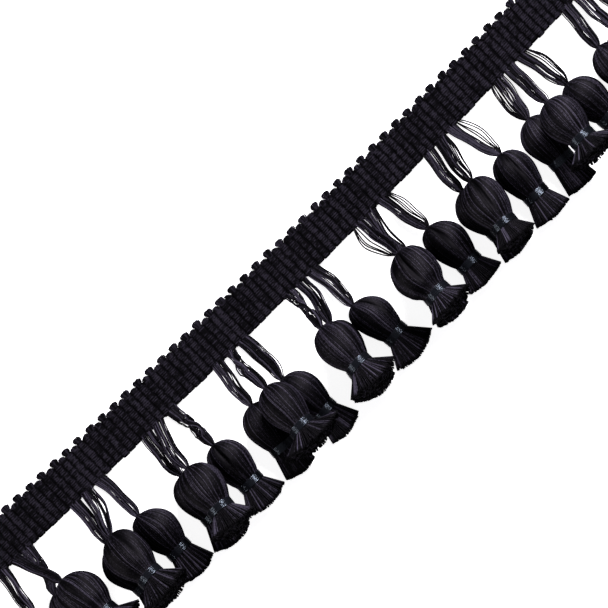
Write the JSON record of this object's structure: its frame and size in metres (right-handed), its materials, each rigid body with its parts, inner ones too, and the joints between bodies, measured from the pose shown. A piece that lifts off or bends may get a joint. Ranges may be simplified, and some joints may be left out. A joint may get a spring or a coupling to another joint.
{
  "type": "tassel fringe trim",
  "caption": "Woven ribbed heading with hanging yarn loops along one edge, each loop carrying a ball-headed tassel bound at the neck, lying flat",
  "frame": {"origin": "middle of the heading's back face, where the trim is sewn or glued on", "axes": "X along the heading, -Y toward the tassels, +Z out of the heading's ribbed face; the trim lies on the plane z = 0"},
  "size_m": [0.3167, 0.0684, 0.0312],
  "materials": {
    "woven_heading": "black ribbed rayon weave, low sheen",
    "tassel_yarn": "black spun rayon yarn laid side by side, soft sheen along the strands",
    "tie_thread": "black satin rayon thread, bluish sheen"
  },
  "bodies": {
    "root": {"heading": "woven_heading", "tassel_01": "tassel_yarn", "tassel_02": "tassel_yarn", "tassel_03": "tassel_yarn", "tassel_04": "tassel_yarn", "tassel_05": "tassel_yarn", "tassel_06": "tassel_yarn", "tassel_07": "tassel_yarn", "tassel_08": "tassel_yarn", "tassel_09": "tassel_yarn", "tassel_10": "tassel_yarn", "tassel_11": "tassel_yarn", "tassel_12": "tassel_yarn", "tassel_13": "tassel_yarn", "tassel_14": "tassel_yarn", "tassel_15": "tassel_yarn", "tassel_16": "tassel_yarn", "tassel_17": "tassel_yarn", "tassel_18": "tassel_yarn", "tassel_19": "tassel_yarn", "tassel_20": "tassel_yarn", "tassel_21": "tassel_yarn", "tassel_22": "tassel_yarn", "tassel_23": "tassel_yarn", "tassel_24": "tassel_yarn", "tassel_25": "tassel_yarn", "tassel_26": "tassel_yarn", "tassel_27": "tassel_yarn", "tie_01": "tie_thread", "tie_02": "tie_thread", "tie_03": "tie_thread", "tie_04": "tie_thread", "tie_05": "tie_thread", "tie_06": "tie_thread", "tie_07": "tie_thread", "tie_08": "tie_thread", "tie_09": "tie_thread", "tie_10": "tie_thread", "tie_11": "tie_thread", "tie_12": "tie_thread", "tie_13": "tie_thread", "tie_14": "tie_thread", "tie_15": "tie_thread", "tie_16": "tie_thread", "tie_17": "tie_thread", "tie_18": "tie_thread", "tie_19": "tie_thread", "tie_20": "tie_thread", "tie_21": "tie_thread", "tie_22": "tie_thread", "tie_23": "tie_thread", "tie_24": "tie_thread", "tie_25": "tie_thread", "tie_26": "tie_thread", "tie_27": "tie_thread"}
  },
  "joints": []
}
